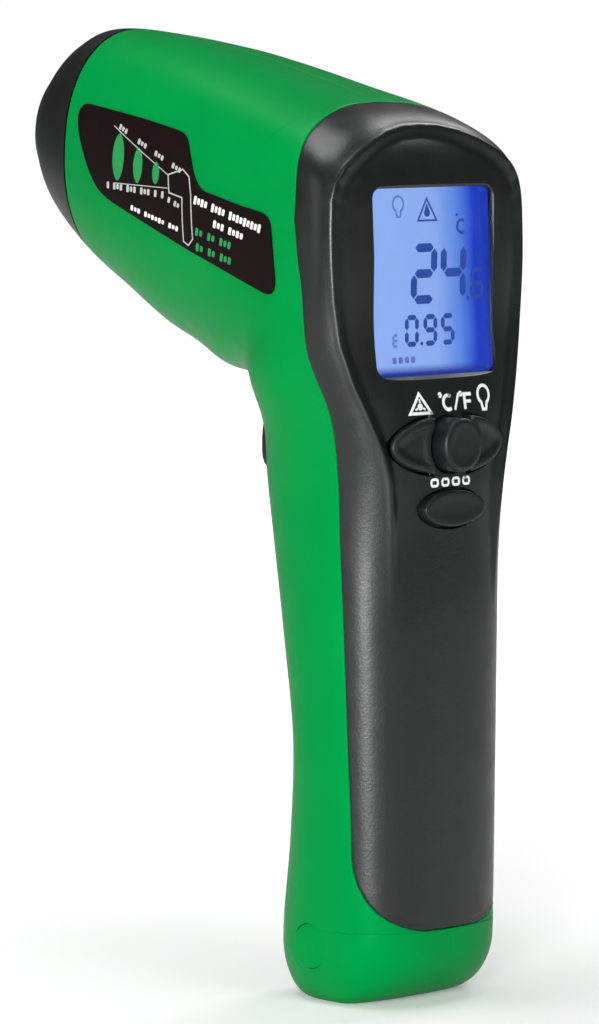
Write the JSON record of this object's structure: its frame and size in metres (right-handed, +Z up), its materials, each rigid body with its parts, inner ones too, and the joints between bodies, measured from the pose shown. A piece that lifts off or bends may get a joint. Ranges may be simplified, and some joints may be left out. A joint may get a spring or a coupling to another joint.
{
  "type": "infrared thermometer",
  "caption": "Pistol-grip infrared thermometer with a rear display, press buttons, a trigger, an oval sensor nose and a hinged battery door in the handle.",
  "frame": {"origin": "on the flat underside of the handle's foot, in the middle plane, 12.2 mm in front of the back of the handle", "axes": "+Z up along the handle, +X the way the sensor points (its optical axis is tilted 8 degrees up from +X), +Y to the left of the person holding it"},
  "size_m": [0.0862, 0.0454, 0.1512],
  "materials": {
    "green_plastic": "fine satin moulded ABS",
    "black_plastic": "fine-grained soft-touch plastic",
    "button_plastic": "satin",
    "inner_plastic": "matte",
    "clear_window": "clear polished acrylic",
    "lcd_film": "polished film over segments",
    "backlight_film": "diffusing light guide",
    "circuit_board": "solder mask",
    "steel": "plated",
    "lens_plastic": "milky infrared-clear Fresnel plastic",
    "brass": "turned",
    "red_window": "clear red",
    "battery_jacket": "printed metal jacket",
    "wire_insulation": "vinyl",
    "label_film": "satin printed film"
  },
  "bodies": {
    "instrument": {"left_housing": "green_plastic", "right_housing": "green_plastic", "rear_cover": "black_plastic", "nose_cap": "black_plastic", "hinge_pins": "green_plastic", "trigger_spring": "steel", "trigger_switch": "inner_plastic", "trigger_bracket": "inner_plastic", "button_switches": "inner_plastic", "lcd_window": "clear_window", "lcd_frame": "inner_plastic", "lcd_panel": "lcd_film", "backlight_panel": "backlight_film", "main_pcb": "circuit_board", "pcb_chips": "inner_plastic", "pcb_screws": "steel", "buzzer": "inner_plastic", "sensor_barrel": "inner_plastic", "ir_lens": "lens_plastic", "lens_ring": "inner_plastic", "thermopile_sensor": "steel", "sensor_pcb": "circuit_board", "laser_module": "brass", "laser_window": "red_window", "battery": "battery_jacket", "battery_snap": "inner_plastic", "battery_leads": "wire_insulation", "housing_screws": "steel", "left_label": "label_film", "right_label": "label_film"},
    "battery_door": {"battery_door": "green_plastic"},
    "trigger": {"trigger": "button_plastic"},
    "laser_button": {"laser_button": "button_plastic"},
    "unit_button": {"unit_button": "button_plastic"},
    "backlight_button": {"backlight_button": "button_plastic"},
    "mode_button": {"mode_button": "button_plastic"}
  },
  "joints": [
    {"name": "battery_door_hinge", "type": "hinge", "parent": "instrument", "child": "battery_door", "pos_m": [0.0034, 0, 0.009], "axis": [0, 1, 0], "range_deg": [0, 50]},
    {"name": "trigger_pull", "type": "slide", "parent": "instrument", "child": "trigger", "axis": [-1, 0, 0], "range_m": [0, 0.003], "stiffness_N_per_m": 350, "springref_m": -0.002, "deforming": ["trigger_spring"]},
    {"name": "laser_press", "type": "slide", "parent": "instrument", "child": "laser_button", "axis": [1, 0, 0], "range_m": [0, 0.0008], "stiffness_N_per_m": 1200, "springref_m": -0.0005},
    {"name": "unit_press", "type": "slide", "parent": "instrument", "child": "unit_button", "axis": [1, 0, 0], "range_m": [0, 0.0008], "stiffness_N_per_m": 1200, "springref_m": -0.0005},
    {"name": "backlight_press", "type": "slide", "parent": "instrument", "child": "backlight_button", "axis": [1, 0, 0], "range_m": [0, 0.0008], "stiffness_N_per_m": 1200, "springref_m": -0.0005},
    {"name": "mode_press", "type": "slide", "parent": "instrument", "child": "mode_button", "axis": [1, 0, 0], "range_m": [0, 0.0008], "stiffness_N_per_m": 1200, "springref_m": -0.0005}
  ]
}
